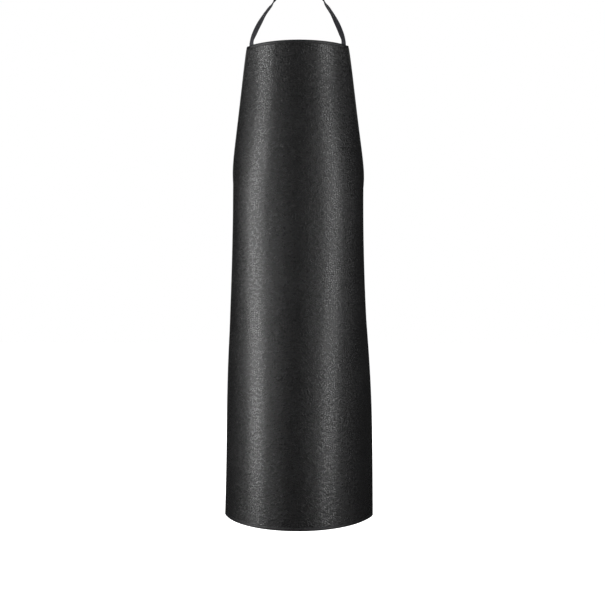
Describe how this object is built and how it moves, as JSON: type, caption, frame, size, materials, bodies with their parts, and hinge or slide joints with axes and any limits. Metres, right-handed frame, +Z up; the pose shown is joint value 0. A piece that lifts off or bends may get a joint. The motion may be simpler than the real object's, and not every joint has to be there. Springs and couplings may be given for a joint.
{
  "type": "bib apron",
  "caption": "Full-length bib apron of pebbled black leathercloth with bound edges, webbing neck and waist straps and side-release buckles.",
  "frame": {"origin": "on the axis of the wearer's neck, at the mid-width of the strap across the nape, which holds the apron up", "axes": "+Z up along the apron's length, +X to the right as seen from the front, -Y out of the apron's front"},
  "size_m": [0.373, 0.2609, 1.3324],
  "materials": {
    "leathercloth": "satin pebbled",
    "binding_tape": "matte",
    "webbing": "matte ribbed",
    "buckle_plastic": "satin"
  },
  "bodies": {
    "apron": {"apron_panel": "leathercloth", "neck_patch_left": "leathercloth", "neck_patch_right": "leathercloth", "waist_patch_left": "leathercloth", "waist_patch_right": "leathercloth", "top_binding": "binding_tape", "hem_binding": "binding_tape", "arm_binding_left": "binding_tape", "arm_binding_right": "binding_tape", "side_binding_left": "binding_tape", "side_binding_right": "binding_tape", "neck_strap_left": "webbing", "neck_strap_right": "webbing", "waist_strap_left": "webbing", "waist_strap_right": "webbing", "neck_buckle_socket": "buckle_plastic", "waist_buckle_socket": "buckle_plastic"},
    "neck_plug": {"neck_buckle_plug": "buckle_plastic", "neck_prong_upper": "buckle_plastic", "neck_prong_lower": "buckle_plastic"},
    "waist_plug": {"waist_buckle_plug": "buckle_plastic", "waist_prong_upper": "buckle_plastic", "waist_prong_lower": "buckle_plastic"}
  },
  "joints": [
    {"name": "neck_release", "type": "slide", "parent": "apron", "child": "neck_plug", "axis": [1, 0, 0], "range_m": [0, 0.03], "deforming": ["neck_strap_right", "neck_prong_upper", "neck_prong_lower"]},
    {"name": "waist_release", "type": "slide", "parent": "apron", "child": "waist_plug", "axis": [1, 0, 0], "range_m": [0, 0.03], "deforming": ["waist_strap_right", "waist_prong_upper", "waist_prong_lower"]}
  ]
}
